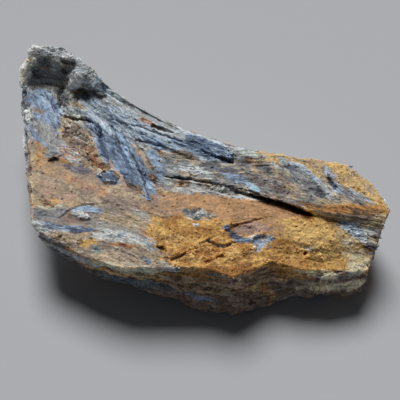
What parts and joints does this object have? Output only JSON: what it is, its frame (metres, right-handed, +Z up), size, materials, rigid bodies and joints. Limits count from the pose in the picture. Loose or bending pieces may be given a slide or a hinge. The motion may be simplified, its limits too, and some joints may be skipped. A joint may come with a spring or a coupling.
{
  "type": "raw pietersite",
  "caption": "Rough slab of swirled blue and ochre stone that rests on a flat cleavage face, with a raised dark crust at one corner and a long split across its top.",
  "frame": {"origin": "on the flat bed, under the middle of the stone's box", "axes": "+X along the stone's length, from the crusted corner towards the split end; +Y towards the concave back edge; +Z up, out of the broken top"},
  "size_m": [0.128, 0.092, 0.037],
  "materials": {
    "weathered_stone": "dull broken stone, blue-grey fibre and ochre rind, slight silky sheen on the fibre"
  },
  "bodies": {
    "root": {"pietersite": "weathered_stone"}
  },
  "joints": []
}
